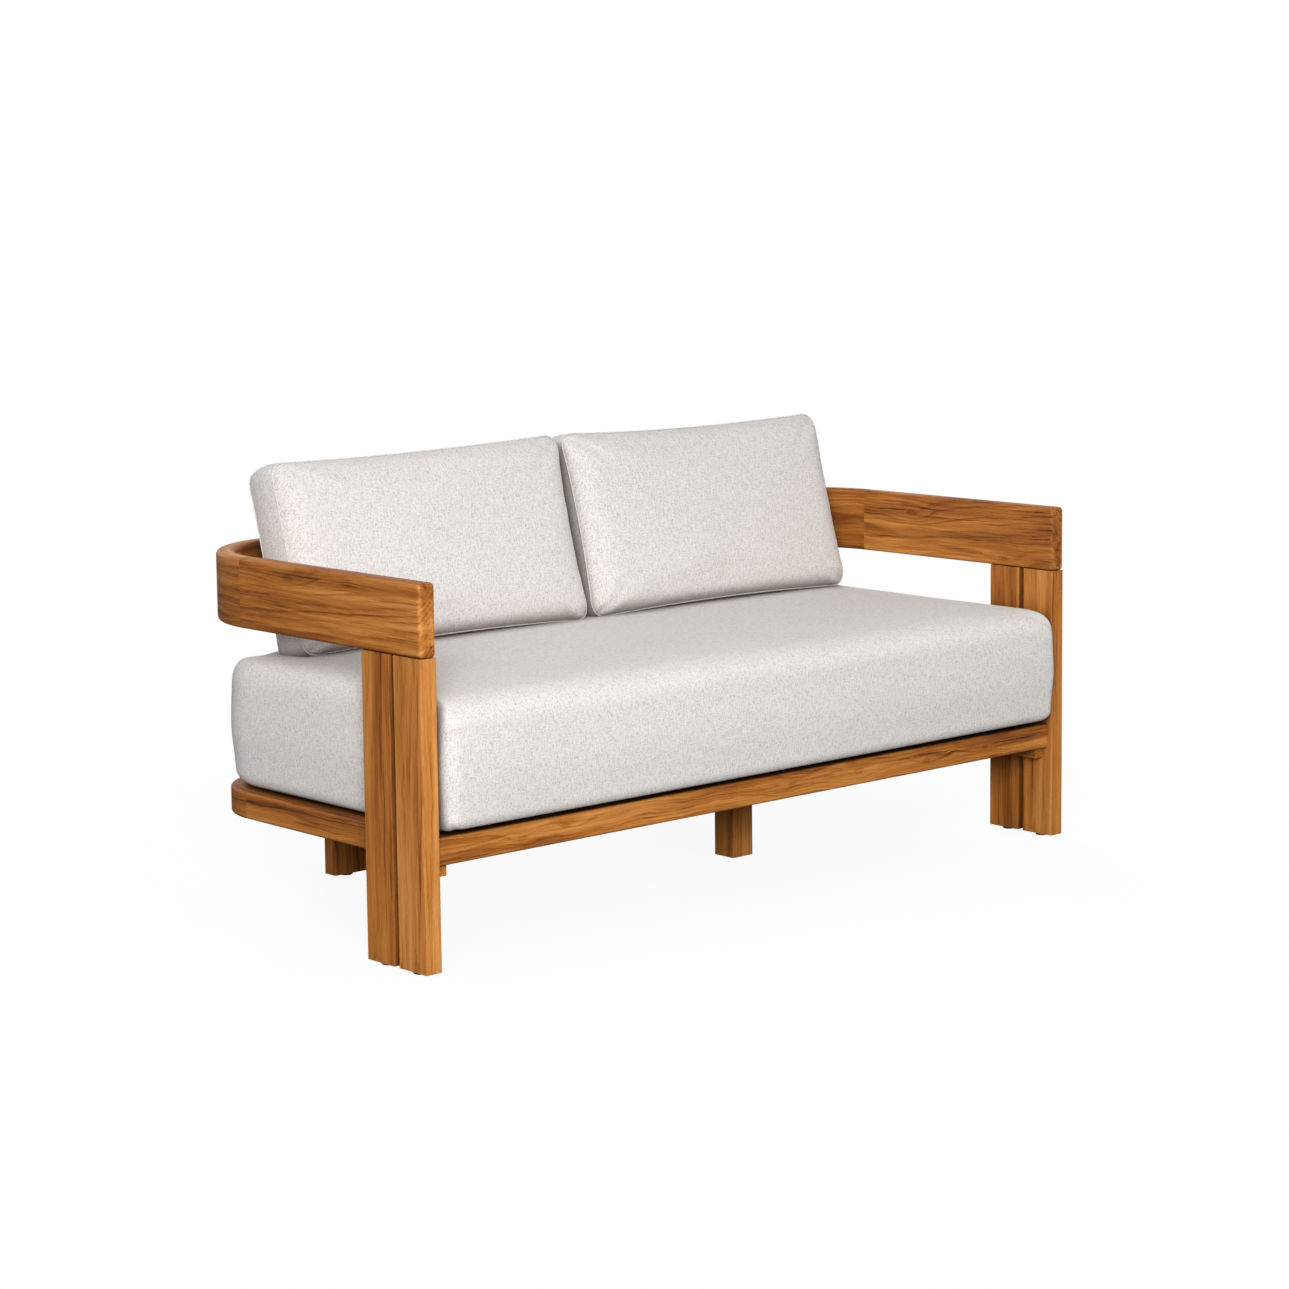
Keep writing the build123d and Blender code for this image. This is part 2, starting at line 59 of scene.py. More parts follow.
pure_white = (1, 1, 1, 1)
world_strength = 0.41
floor_size = 60
floor_bounce = 0.10
floor_whiteness = 0.93
floor_fade = (1.1, 2.4)


def make_camera():
    data = bpy.data.cameras.new("camera")
    data.sensor_width = sensor_width
    data.lens = camera_lens
    data.shift_y = camera_shift_y
    camera = bpy.data.objects.new("camera", data)
    bpy.context.scene.collection.objects.link(camera)
    level_reach = math.cos(camera_pitch)
    forward = Vector((math.sin(camera_yaw) * level_reach, math.cos(camera_yaw) * level_reach,
                      -math.sin(camera_pitch)))
    level = Vector((math.cos(camera_yaw), -math.sin(camera_yaw), 0))
    upright = level.cross(forward)
    right = level * math.cos(camera_roll) + upright * math.sin(camera_roll)
    up = upright * math.cos(camera_roll) - level * math.sin(camera_roll)
    turn = Matrix((right, up, -forward)).transposed().to_4x4()
    camera.matrix_world = Matrix.Translation(camera_place) @ turn
    bpy.context.scene.camera = camera


def area_light(name, direction, distance, size, power, aim, glare=True):
    """Round lamp at a distance from its aim; without glare it leaves no highlights."""
    data = bpy.data.lights.new(name, "AREA")
    data.shape = "DISK"
    data.size = size
    data.energy = power
    light = bpy.data.objects.new(name, data)
    bpy.context.scene.collection.objects.link(light)
    way = Vector(direction).normalized()
    light.location = Vector(aim) + way * distance
    light.rotation_euler = way.to_track_quat("Z", "Y").to_euler()
    light.visible_glossy = glare


def make_lamps():
    """Key from the front left, a weak fill from the front, and a lamp behind for the upper edges."""
    area_light("key", direction=(-0.70, -0.78, 0.36), distance=7.0, size=3.0, power=445,
               aim=(0, 0, 0.4))
    area_light("fill", direction=(0.15, -1.0, 0.42), distance=6.0, size=1.6, power=44,
               aim=(0, 0, 0.2))
    area_light("back", direction=(0.60, 1.0, 0.34), distance=7.0, size=3.0, power=250,
               aim=(0, 0, 0.4), glare=False)


def make_world():
    """Soft light on the object; white where the world is seen, directly, in a gloss or through glass."""
    world = bpy.data.worlds.new("studio")
    bpy.context.scene.world = world
    world.use_nodes = True
    graph = Graph(world.node_tree)
    path = graph.add("ShaderNodeLightPath")
    seen = graph.math("MAXIMUM", path.outputs["Is Camera Ray"], path.outputs["Is Glossy Ray"])
    seen = graph.math("MAXIMUM", seen, path.outputs["Is Transmission Ray"])
    soft = graph.add("ShaderNodeBackground", Color=pure_white, Strength=world_strength)
    plain = graph.add("ShaderNodeBackground", Color=pure_white, Strength=1.0)
    graph.end("ShaderNodeOutputWorld", graph.mix_shaders(seen, soft, plain))


def make_floor():
    """White to the camera, with a faint shadow that ends away from the object; dim to other rays."""
    half = floor_size / 2
    corners = [(-half, -half, 0), (half, -half, 0), (half, half, 0), (-half, half, 0)]
    mesh = bpy.data.meshes.new("floor")
    mesh.from_pydata(corners, [], [(0, 1, 2, 3)])
    floor = bpy.data.objects.new("floor", mesh)
    bpy.context.scene.collection.objects.link(floor)
    material = bpy.data.materials.new("floor")
    material.use_nodes = True
    graph = Graph(material.node_tree)
    path = graph.add("ShaderNodeLightPath")
    dim = graph.add("ShaderNodeBsdfDiffuse", Color=(floor_bounce, floor_bounce, floor_bounce, 1))
    matte = graph.add("ShaderNodeBsdfDiffuse", Color=pure_white)
    glow = graph.add("ShaderNodeEmission", Color=pure_white, Strength=1.0)
    away = graph.vector("LENGTH", graph.place())
    seen = graph.mix_shaders(graph.spread(away, *floor_fade, floor_whiteness, 1.0), matte, glow)
    mixed = graph.mix_shaders(path.outputs["Is Camera Ray"], dim, seen)
    graph.end("ShaderNodeOutputMaterial", mixed)
    mesh.materials.append(material)


# Node graphs

# Samples of the ambient occlusion that sets the painted shade.
painted_shade_samples = 6


class Graph:
    """Small helper that adds and links shader nodes."""

    def __init__(self, tree):
        self.tree = tree
        tree.nodes.clear()

    def add(self, kind, **values):
        node = self.tree.nodes.new(kind)
        for name, value in values.items():
            label = name.replace("_", " ")
            node.inputs[label].default_value = value
        return node

    def link(self, source, target):
        self.tree.links.new(source, target)

    def feed(self, socket, value):
        if isinstance(value, bpy.types.NodeSocket):
            self.link(value, socket)
        else:
            socket.default_value = value

    def calculate(self, kind, operation, values):
        node = self.tree.nodes.new(kind)
        node.operation = operation
        for socket, value in zip(node.inputs, values):
            self.feed(socket, value)
        return node.outputs

    def math(self, operation, *values):
        return self.calculate("ShaderNodeMath", operation, values)[0]

    def vector(self, operation, *values):
        outputs = self.calculate("ShaderNodeVectorMath", operation, values)
        return outputs["Value" if operation == "LENGTH" else "Vector"]

    def plus(self, first, second):
        return self.math("ADD", first, second)

    def minus(self, first, second):
        return self.math("SUBTRACT", first, second)

    def times(self, first, second):
        return self.math("MULTIPLY", first, second)

    def hypotenuse(self, first, second):
        """Long side of the right triangle on two lengths."""
        return self.math("SQRT", self.plus(self.times(first, first), self.times(second, second)))

    def swing(self, value, amount):
        """A value from 0 to 1, taken as a swing about its middle."""
        return self.times(self.minus(value, 0.5), amount)

    def combine(self, x, y, z):
        node = self.tree.nodes.new("ShaderNodeCombineXYZ")
        for socket, value in zip(node.inputs, (x, y, z)):
            self.feed(socket, value)
        return node.outputs[0]

    def separate(self, vector):
        node = self.tree.nodes.new("ShaderNodeSeparateXYZ")
        self.link(vector, node.inputs[0])
        return node.outputs

    def noise(self, vector, scale, detail=2.0, roughness=0.5, distortion=0.0, output="Fac"):
        node = self.add("ShaderNodeTexNoise", Scale=scale, Detail=detail, Roughness=roughness,
                        Distortion=distortion)
        self.link(vector, node.inputs["Vector"])
        return node.outputs[output]

    def ramp(self, value, stops):
        node = self.tree.nodes.new("ShaderNodeValToRGB")
        self.link(value, node.inputs[0])
        elements = node.color_ramp.elements
        while len(elements) < len(stops):
            elements.new(0.5)
        for element, (place, colour) in zip(elements, stops):
            element.position = place
            element.color = (*colour, 1)
        return node.outputs[0]

    def spread(self, value, low, high, to_low=0.0, to_high=1.0):
        """Smooth step from one value to another between a low and a high input."""
        node = self.tree.nodes.new("ShaderNodeMapRange")
        node.interpolation_type = "SMOOTHSTEP"
        for socket, amount in zip(node.inputs, (value, low, high, to_low, to_high)):
            self.feed(socket, amount)
        return node.outputs[0]

    def mix(self, share, first, second):
        node = self.tree.nodes.new("ShaderNodeMix")
        node.data_type = "RGBA"
        sockets = (node.inputs[0], node.inputs[6], node.inputs[7])
        for socket, value in zip(sockets, (share, first, second)):
            self.feed(socket, value)
        return node.outputs[2]

    def mix_vector(self, share, first, second):
        node = self.tree.nodes.new("ShaderNodeMix")
        node.data_type = "VECTOR"
        sockets = (node.inputs[0], node.inputs[4], node.inputs[5])
        for socket, value in zip(sockets, (share, first, second)):
            self.feed(socket, value)
        return node.outputs[1]

    def mix_shaders(self, share, first, second):
        node = self.tree.nodes.new("ShaderNodeMixShader")
        for socket, source in zip(node.inputs, (share, first.outputs[0], second.outputs[0])):
            self.link(source, socket)
        return node

    def bump(self, height, distance, strength):
        node = self.add("ShaderNodeBump", Strength=strength, Distance=distance)
        self.link(height, node.inputs["Height"])
        return node.outputs[0]

    def painted_crevice_shade(self, reach, open_share, amount):
        """Share of painted shade at a place, from ambient occlusion: 0 in the open, up to the amount
        deep in a crevice.
        """
        node = self.add("ShaderNodeAmbientOcclusion", Distance=reach)
        node.samples = painted_shade_samples
        return self.spread(node.outputs["AO"], 0.0, open_share, amount, 0.0)

    def place(self):
        return self.tree.nodes.new("ShaderNodeTexCoord").outputs["Object"]

    def end(self, kind, shader):
        output = self.add(kind)
        self.link(shader.outputs[0], output.inputs["Surface"])


def new_surface(name, **values):
    """A material with one Principled shader, whose constant values are set on its own sockets."""
    material = bpy.data.materials.new(name)
    material.use_nodes = True
    graph = Graph(material.node_tree)
    shader = graph.add("ShaderNodeBsdfPrincipled", **values)
    graph.end("ShaderNodeOutputMaterial", shader)
    return material, graph, shader


# Teak

teak_dark = (0.060, 0.016, 0.003)
teak_brown = (0.195, 0.056, 0.008)
teak_mid = (0.370, 0.121, 0.018)
teak_light = (0.535, 0.207, 0.043)
teak_pale = (0.680, 0.310, 0.090)
teak_stops = [(0.0, teak_dark), (0.28, teak_brown), (0.52, teak_mid), (0.76, teak_light),
              (1.0, teak_pale)]
# Painted shade in the teak: its colour, and the ambient occlusion's reach, open share and strength.
teak_painted_shade = (0.022, 0.008, 0.002)
teak_painted_shade_reach = 0.070
teak_painted_shade_open = 0.62
teak_painted_shade_amount = 0.92
teak_specular = 0.22
teak_tone_range = (0.1, 0.9)
teak_roughness = (0.58, 0.44)
teak_bump_height = 0.0003
teak_bump_strength = 0.7

# Growth rings lie about a pith behind the board, which slants along it and differs from board to board.
ring_spacing = 0.0075
ring_rise = (0.35, 0.93)
ring_row_along = 2.0
ring_row_scale = 1.7
ring_row_range = (0.40, 0.75)
ring_faint = 0.02
ring_deep = 0.24
pith_aside = 0.05
pith_behind = 0.09
pith_turn = 2.1
pith_slant = 0.05
pith_slant_swing = 0.02
board_shift = 1.37

# Marks of the grain: repeats per metre along the board and across it, then the noise's detail, roughness
# and distortion, then how far the mark is shifted beyond the board's own shift, or None for no shift.
grain_marks = {
    "drift": (1.5, 9.0, 3.0, 0.55, 0.0, 0),
    "swirl": (7.0, 20.0, 2.0, 0.5, 0.5, 3),
    "wander": (6.0, 60.0, 3.0, 0.6, 0.0, None),
    "fibre": (9.0, 420.0, 3.0, 0.65, 0.0, None),
    "streak": (2.2, 75.0, 3.0, 0.6, 0.0, 0),
    "pore": (75.0, 1300.0, 1.0, 0.5, 0.0, None),
    "broad": (1.6, 24.0, 4.0, 0.6, 0.4, 5),
    "vein": (5.0, 150.0, 4.0, 0.65, 0.6, 9),
}
cloud_along = 3.0
cloud_across = 14.0

# How far the marks move the rings, in metres, and the noise values between which pores, veins and
# bunches of veins set in.
drift_reach = 0.030
swirl_reach = 0.014
wander_reach = 0.0055
pore_range = (0.60, 0.72)
vein_range = (0.54, 0.66)
bunch_range = (0.62, 0.38)

# How far each mark moves the tone, which runs from 0 for dark to 1 for pale.
middle_tone = 0.67
cloud_weight = 0.40
fibre_weight = 0.55
streak_weight = 0.68
broad_weight = 1.0
vein_weight = 0.05
vein_bunch_weight = 0.28
pore_weight = 0.13
knot_weight = 0.17
fibre_relief = 0.5
pore_relief = 0.8
ring_relief = 0.25

# A knot's parts as shares of its size. Places along the grain count less, so a knot is long.
knot_along_share = 0.32
knot_reach_share = 1.7
knot_bend_share = 1.1
knot_heart_share = (0.22, 0.45)

# Knots as place along the board, height and size, in metres.
arm_left_knots = [(0.010, 0.656, 0.016)]
arm_right_knots = [(0.02, 0.644, 0.014), (-0.24, 0.566, 0.012)]
rail_knots = [(-0.60, 0.208, 0.012), (-0.50, 0.218, 0.013), (0.06, 0.214, 0.012), (0.24, 0.216, 0.013),
              (0.43, 0.210, 0.011), (0.60, 0.216, 0.009)]

# Radius on which a bent corner's grain is measured, as a share of the corner's depth.
band_radius_share = 0.93
base_radius_share = 0.85

leg_fore_tone = {"left": 0.16, "right": 0.06}
leg_aft_tone = {"left": -0.05, "right": -0.11}


def board_place(graph, grain, centre):
    """Place on a board as (along the grain, across its face, through it)."""
    x, y, z = graph.separate(graph.place())
    if grain == "x":
        return x, z, y
    if grain == "y":
        return y, z, x
    if grain == "z":
        return z, y, x
    if grain == "z_front":
        return z, x, y
    centre_x, centre_y, bend_radius = centre
    aside = graph.minus(x, centre_x)
    back = graph.minus(y, centre_y)
    angle = graph.math("ARCTAN2", back, aside)
    return graph.times(angle, bend_radius), z, graph.hypotenuse(aside, back)


def knot_marks(graph, along, side, knots):
    """How far the knots bend the rings at a place, and how deep it lies in a knot's heart."""
    bend = 0.0
    heart = 0.0
    for knot_along, knot_side, size in knots:
        near = graph.combine(graph.times(graph.minus(along, knot_along), knot_along_share),
                             graph.minus(side, knot_side), 0.0)
        far = graph.vector("LENGTH", near)
        fall = graph.math("POWER", graph.math("DIVIDE", far, size * knot_reach_share), 2.0)
        bulge = graph.math("EXPONENT", graph.times(fall, -1.0))
        inner, outer = knot_heart_share
        bend = graph.plus(bend, graph.times(bulge, size * knot_bend_share))
        heart = graph.math("MAXIMUM", heart, graph.spread(far, size * inner, size * outer, 1.0, 0.0))
    return bend, heart


def teak(name, grain, seed, tone=0.0, contrast=1.0, knots=(), centre=None, figure=1.0):
    """Oiled teak with growth rings about a slanting pith, fibres, pores, streaks and knots, and painted
    shade in joints and crevices.
    """
    material, graph, shader = new_surface(name, Roughness=0.5, Specular_IOR_Level=teak_specular)
    along, across, through = board_place(graph, grain, centre)
    shift = seed * board_shift

    def mark(kind, aside):
        along_scale, across_scale, detail, roughness, distortion, offset = grain_marks[kind]
        deep = graph.times(through, across_scale)
        if offset is not None:
            deep = graph.plus(deep, shift + offset)
        place = graph.combine(graph.times(along, along_scale), graph.times(aside, across_scale), deep)
        return graph.noise(place, 1.0, detail, roughness, distortion)

    side = graph.plus(across, graph.swing(mark("drift", across), drift_reach))
    side = graph.plus(side, graph.swing(mark("swirl", across), swirl_reach * figure))
    bend, heart = knot_marks(graph, along, side, knots)

    slant = graph.times(along, pith_slant + pith_slant_swing * math.sin(seed))
    pith_side = graph.minus(graph.plus(side, slant), pith_aside * math.cos(seed * pith_turn))
    from_pith = graph.plus(graph.hypotenuse(pith_side, graph.plus(through, pith_behind)), bend)
    wander = graph.times(mark("wander", side), wander_reach)
    turns = graph.times(graph.plus(from_pith, wander), 1 / ring_spacing)
    ring = graph.math("FRACT", turns)
    late = graph.times(graph.spread(ring, *ring_rise), graph.spread(ring, ring_rise[1], 1.0, 1.0, 0.0))
    row_place = graph.combine(graph.times(along, ring_row_along), graph.math("FLOOR", turns), shift)
    row = graph.noise(row_place, ring_row_scale, 1.0)

    fibre = mark("fibre", side)
    streak = mark("streak", side)
    broad = mark("broad", side)
    pore = graph.spread(mark("pore", side), *pore_range)
    vein = graph.spread(mark("vein", side), *vein_range)
    cloud_place = graph.combine(graph.times(along, cloud_along), graph.times(across, cloud_across),
                                shift)
    level = graph.swing(graph.noise(cloud_place, 1.0), cloud_weight * contrast)
    for value, weight in ((fibre, fibre_weight), (streak, streak_weight), (broad, broad_weight)):
        level = graph.plus(level, graph.swing(value, weight * contrast))
    bunched = graph.times(graph.spread(broad, *bunch_range), vein_bunch_weight)
    dark_vein = graph.times(vein, graph.plus(bunched, vein_weight))
    dark_ring = graph.times(late, graph.spread(row, *ring_row_range, ring_faint, ring_deep))
    level = graph.minus(level, graph.times(dark_vein, contrast))
    level = graph.minus(level, graph.times(dark_ring, contrast))
    level = graph.plus(level, middle_tone + tone)
    level = graph.minus(level, graph.times(pore, pore_weight))
    level = graph.minus(level, graph.times(heart, knot_weight))

    # Painted shade: ambient occlusion mixes a near-black brown into the wood in joints, grooves and
    # under the rails, where shade falls.
    painted_shade = graph.painted_crevice_shade(teak_painted_shade_reach, teak_painted_shade_open, teak_painted_shade_amount)
    colour = graph.mix(painted_shade, graph.ramp(level, teak_stops), (*teak_painted_shade, 1))
    graph.link(colour, shader.inputs["Base Color"])
    roughness = graph.spread(level, *teak_tone_range, *teak_roughness)
    graph.link(roughness, shader.inputs["Roughness"])
    relief = graph.minus(graph.times(fibre, fibre_relief), graph.times(pore, pore_relief))
    relief = graph.minus(relief, graph.times(late, ring_relief))
    graph.link(graph.bump(relief, teak_bump_height, teak_bump_strength), shader.inputs["Normal"])
    return material


def paint(node, material):
    mesh = nodes[node].data
    mesh.materials.clear()
    mesh.materials.append(material)


def finish_wood():
    paint("arm_board_left", teak("arm_left", "y", seed=1, tone=-0.08, contrast=1.3,
                                 knots=arm_left_knots, figure=0.35))
    paint("arm_board_right", teak("arm_right", "y", seed=2, tone=-0.08, contrast=1.25,
                                  knots=arm_right_knots, figure=0.9))
    paint("back_board", teak("back_board", "x", seed=3, tone=-0.03))
    paint("front_rail", teak("front_rail", "x", seed=4, tone=-0.02, contrast=1.35, knots=rail_knots,
                             figure=1.7))
    paint("rear_rail", teak("rear_rail", "x", seed=5, tone=-0.02))
    band_low, band_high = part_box("back_corner_right")
    base_low, base_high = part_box("base_corner_right")
    band_radius = (band_high.y - band_low.y) * band_radius_share
    base_radius = (base_high.y - base_low.y) * base_radius_share
    for index, (side, sign) in enumerate((("left", -1), ("right", 1))):
        band_centre = (sign * band_low.x, band_low.y, band_radius)
        base_centre = (sign * base_low.x, base_low.y, base_radius)
        fore_tone = leg_fore_tone[side]
        aft_tone = leg_aft_tone[side]
        woods = {
            f"back_corner_{side}": teak(f"band_corner_{side}", "arc", seed=6 + index, tone=-0.16,
                                        contrast=1.1, centre=band_centre),
            f"base_corner_{side}": teak(f"base_corner_{side}", "arc", seed=8 + index, tone=-0.14,
                                        centre=base_centre),
            f"side_rail_{side}": teak(f"side_rail_{side}", "y", seed=10 + index, tone=-0.06),
            f"slat_ledger_{side}": teak(f"ledger_{side}", "y", seed=12 + index),
            f"cross_bearer_{side}": teak(f"bearer_{side}", "y", seed=14 + index),
            f"front_cleat_{side}": teak(f"front_cleat_{side}", "y", seed=16 + index, tone=-0.08),
            f"rear_cleat_{side}": teak(f"rear_cleat_{side}", "x", seed=18 + index, tone=-0.08),
            f"front_leg_{side}_fore_plank": teak(f"leg_{side}_fore", "z", seed=20 + index,
                                                 tone=fore_tone, contrast=0.9, figure=0.6),
            f"front_leg_{side}_aft_plank": teak(f"leg_{side}_aft", "z", seed=22 + index,
                                                tone=aft_tone, contrast=0.85, figure=0.6),
            # Painted shade: the rear planks are set darker to stand for the shadow under the seat.
            f"rear_leg_{side}_outer_plank": teak(f"rear_{side}_outer", "z_front", seed=24 + index,
                                                 tone=-0.10),
            f"rear_leg_{side}_inner_plank": teak(f"rear_{side}_inner", "z_front", seed=26 + index,
                                                 tone=-0.10),
        }
        for node, material in woods.items():
            paint(node, material)
    paint("support_post", teak("support_post", "z", seed=28, tone=0.03))
    slats = sorted(name for name in nodes if name.startswith("seat_slat_"))
    for index, name in enumerate(slats):
        paint(name, teak(name, "x", seed=30 + index, tone=0.02))


# Fittings

glide_dark = (0.012, 0.012, 0.012)
glide_light = (0.03, 0.03, 0.031)
glide_bump_height = 0.0001
glide_bump_strength = 0.4
speck_scale = 900.0
speck_places = (0.3, 0.7)
steel_colour = (0.56, 0.57, 0.58)
brass_colour = (0.60, 0.42, 0.16)
scratch_scale = 2500.0
scratch_detail = 3.0
scratch_fineness = 0.7
scratch_places = (0.3, 0.7)
scratch_share = 0.8
scratch_range = (0.2, 0.8)
scratch_roughness = (0.25, 0.5)
steel_fittings = ("leg_bolts", "slat_screws", "ledger_screws", "cleat_screws", "support_post_screws")


def finish_glides():
    plastic, graph, shader = new_surface("glide_plastic", Roughness=0.55)
    speck = graph.noise(graph.place(), speck_scale)
    stops = list(zip(speck_places, (glide_dark, glide_light)))
    graph.link(graph.ramp(speck, stops), shader.inputs["Base Color"])
    graph.link(graph.bump(speck, glide_bump_height, glide_bump_strength), shader.inputs["Normal"])
    for name in ("leg_glides", "support_post_glide"):
        paint(name, plastic)


def finish_metal(slot, colour, names):
    material, graph, shader = new_surface(f"fastener_{slot}", Metallic=1.0)
    scratch = graph.noise(graph.place(), scratch_scale, scratch_detail, scratch_fineness)
    dull = tuple(part * scratch_share for part in colour)
    stops = list(zip(scratch_places, (dull, colour)))
    graph.link(graph.ramp(scratch, stops), shader.inputs["Base Color"])
    roughness = graph.spread(scratch, *scratch_range, *scratch_roughness)
    graph.link(roughness, shader.inputs["Roughness"])
    for name in names:
        paint(name, material)


def finish_fittings():
    finish_glides()
    finish_metal("steel", steel_colour, steel_fittings)
    finish_metal("brass", brass_colour, ("leg_inserts",))
    dowel = teak("dowel", "x", seed=50, tone=0.25, contrast=0.5)
    for name in ("band_dowels", "leg_dowels", "base_dowels"):
        paint(name, dowel)


# Cushion fabric

fabric_light = (0.850, 0.818, 0.794)
fabric_mid = (0.730, 0.693, 0.664)
fabric_dark = (0.540, 0.497, 0.463)
fabric_places = (0.12, 0.5, 0.90)
# Painted shade in the fabric: its brown colour, and the ambient occlusion's reach, open share and
# strength.
fabric_painted_shade = (0.085, 0.036, 0.010)
fabric_painted_shade_reach = 0.055
fabric_painted_shade_open = 0.86
fabric_painted_shade_amount = 0.97
# Lit and shaded copies of the fabric: the back cushions darker as painted shade, the welts lighter as a
# painted highlight.
back_fabric_painted_shade = 0.955
welt_fabric_painted_highlight = 1.04
cushion_lean = math.radians(15)

# The weave: one thread over the next, wobbling a little, with thicker stretches of yarn.
thread_pitch = 0.0021
wobble_scale = 60.0
wobble_reach = (0.0016, 0.0016, 0.0016)
slub_scale = 340.0
slub_roughness = 0.75
warp_slub_scale = (420.0, 60.0, 1.0)
weft_slub_scale = (60.0, 420.0, 1.0)
yarn_roughness = 0.55
mottle_scale = 9.0

# How far each part of the weave moves the tone, and how far it stands up.
fabric_tone = 0.42
slub_weight = 2.5
warp_slub_weight = 1.3
weft_slub_weight = 0.7
mottle_weight = 0.15
weave_weight = 0.22
weave_relief = 0.6
slub_relief = 0.9
fabric_bump_height = 0.0016
fabric_bump_strength = 0.6


def turned(graph, source, lean):
    """A place or a normal, turned about X by the lean."""
    turn = graph.tree.nodes.new("ShaderNodeVectorRotate")
    turn.rotation_type = "X_AXIS"
    turn.inputs["Angle"].default_value = lean
    graph.link(source, turn.inputs["Vector"])
    return turn.outputs[0]


def fabric(name, lean=0.0, painted_light_scale=1.0):
    """Slubby plain weave, laid on whichever way a face looks, with mottled yarn, painted shade in
    crevices, and a scale that makes lit or shaded copies.
    """
    material, graph, shader = new_surface(name, Roughness=0.9, Sheen_Weight=0.25, Sheen_Roughness=0.6)
    coordinate = graph.tree.nodes.new("ShaderNodeTexCoord")
    flat = turned(graph, coordinate.outputs["Object"], lean)
    normal = turned(graph, coordinate.outputs["Normal"], lean)
    wobble = graph.noise(flat, wobble_scale, output="Color")
    loose = graph.vector("MULTIPLY_ADD", wobble, wobble_reach, flat)
    x, y, z = graph.separate(loose)
    away = graph.separate(graph.vector("ABSOLUTE", normal))
    faces_up = graph.math("GREATER_THAN", away[2], graph.math("MAXIMUM", away[0], away[1]))
    faces_side = graph.math("GREATER_THAN", away[0], away[1])
    upright = graph.mix_vector(faces_side, graph.combine(x, z, 0.0), graph.combine(y, z, 0.0))
    plan = graph.mix_vector(faces_up, upright, graph.combine(x, y, 0.0))
    u, v, _ = graph.separate(plan)

    warp = graph.math("SINE", graph.times(u, math.pi / thread_pitch))
    weft = graph.math("SINE", graph.times(v, math.pi / thread_pitch))
    over = graph.math("GREATER_THAN", graph.times(warp, weft), 0.0)
    warp_height = graph.math("SQRT", graph.math("ABSOLUTE", warp))
    weft_height = graph.math("SQRT", graph.math("ABSOLUTE", weft))
    weave = graph.plus(graph.times(over, warp_height), graph.times(graph.minus(1.0, over), weft_height))
    slub = graph.noise(loose, slub_scale, roughness=slub_roughness)
    warp_place = graph.vector("MULTIPLY", plan, warp_slub_scale)
    weft_place = graph.vector("MULTIPLY", plan, weft_slub_scale)
    warp_slub = graph.noise(warp_place, 1.0, roughness=yarn_roughness)
    weft_slub = graph.noise(weft_place, 1.0, roughness=yarn_roughness)
    mottle = graph.noise(flat, mottle_scale)

    level = graph.swing(slub, slub_weight)
    level = graph.plus(level, graph.swing(warp_slub, warp_slub_weight))
    level = graph.plus(level, graph.swing(weft_slub, weft_slub_weight))
    level = graph.plus(level, graph.swing(mottle, mottle_weight))
    level = graph.plus(level, graph.times(weave, weave_weight))
    level = graph.plus(level, fabric_tone)
    tones = [tuple(part * painted_light_scale for part in tone) for tone in (fabric_dark, fabric_mid, fabric_light)]
    # Painted shade: ambient occlusion mixes a dark brown into the fabric between the cushions and along
    # their contact with the seat and band.
    painted_shade = graph.painted_crevice_shade(fabric_painted_shade_reach, fabric_painted_shade_open, fabric_painted_shade_amount)
    colour = graph.mix(painted_shade, graph.ramp(level, list(zip(fabric_places, tones))), (*fabric_painted_shade, 1))
    graph.link(colour, shader.inputs["Base Color"])
    height = graph.plus(graph.times(weave, weave_relief), graph.times(slub, slub_relief))
    graph.link(graph.bump(height, fabric_bump_height, fabric_bump_strength), shader.inputs["Normal"])
    return material


# Cushion forms

def clustered(half, edge_steps, edge_reach, spacing):
    """Places from -1 to 1, close together near both ends and evenly spread between."""
    angles = [math.pi / 2 * step / edge_steps for step in range(edge_steps + 1)]
    near = [edge_reach * (1 - math.cos(angle)) for angle in angles]
    between = 2 * half - 2 * edge_reach
    count = max(2, round(between / spacing))
    middle = [edge_reach + between * step / count for step in range(1, count)]
    places = near + middle + [2 * half - value for value in reversed(near)]
    return [value / half - 1 for value in places]


def rounded_edge(s, t, half_x, half_y, corners):
    """Point of a rounded rectangle in the direction of a point (s, t) on the unit square's edge."""
    corner = corners[0] if t < 0 else corners[1]
    x, y = s * half_x, t * half_y
    core_x = max(-(half_x - corner), min(half_x - corner, x))
    core_y = max(-(half_y - corner), min(half_y - corner, y))
    out = Vector((x - core_x, y - core_y))
    if abs(x - core_x) > 0 and abs(y - core_y) > 0:
        out = out.normalized() * corner
    return core_x + out.x, core_y + out.y


def sheet_place(s, t, half_x, half_y, corners):
    """Plan place of a grid point: rings of the rounded outline, drawn in towards the middle."""
    reach = max(abs(s), abs(t))
    if reach == 0:
        return 0.0, 0.0
    x, y = rounded_edge(s / reach, t / reach, half_x, half_y, corners)
    return x * reach, y * reach


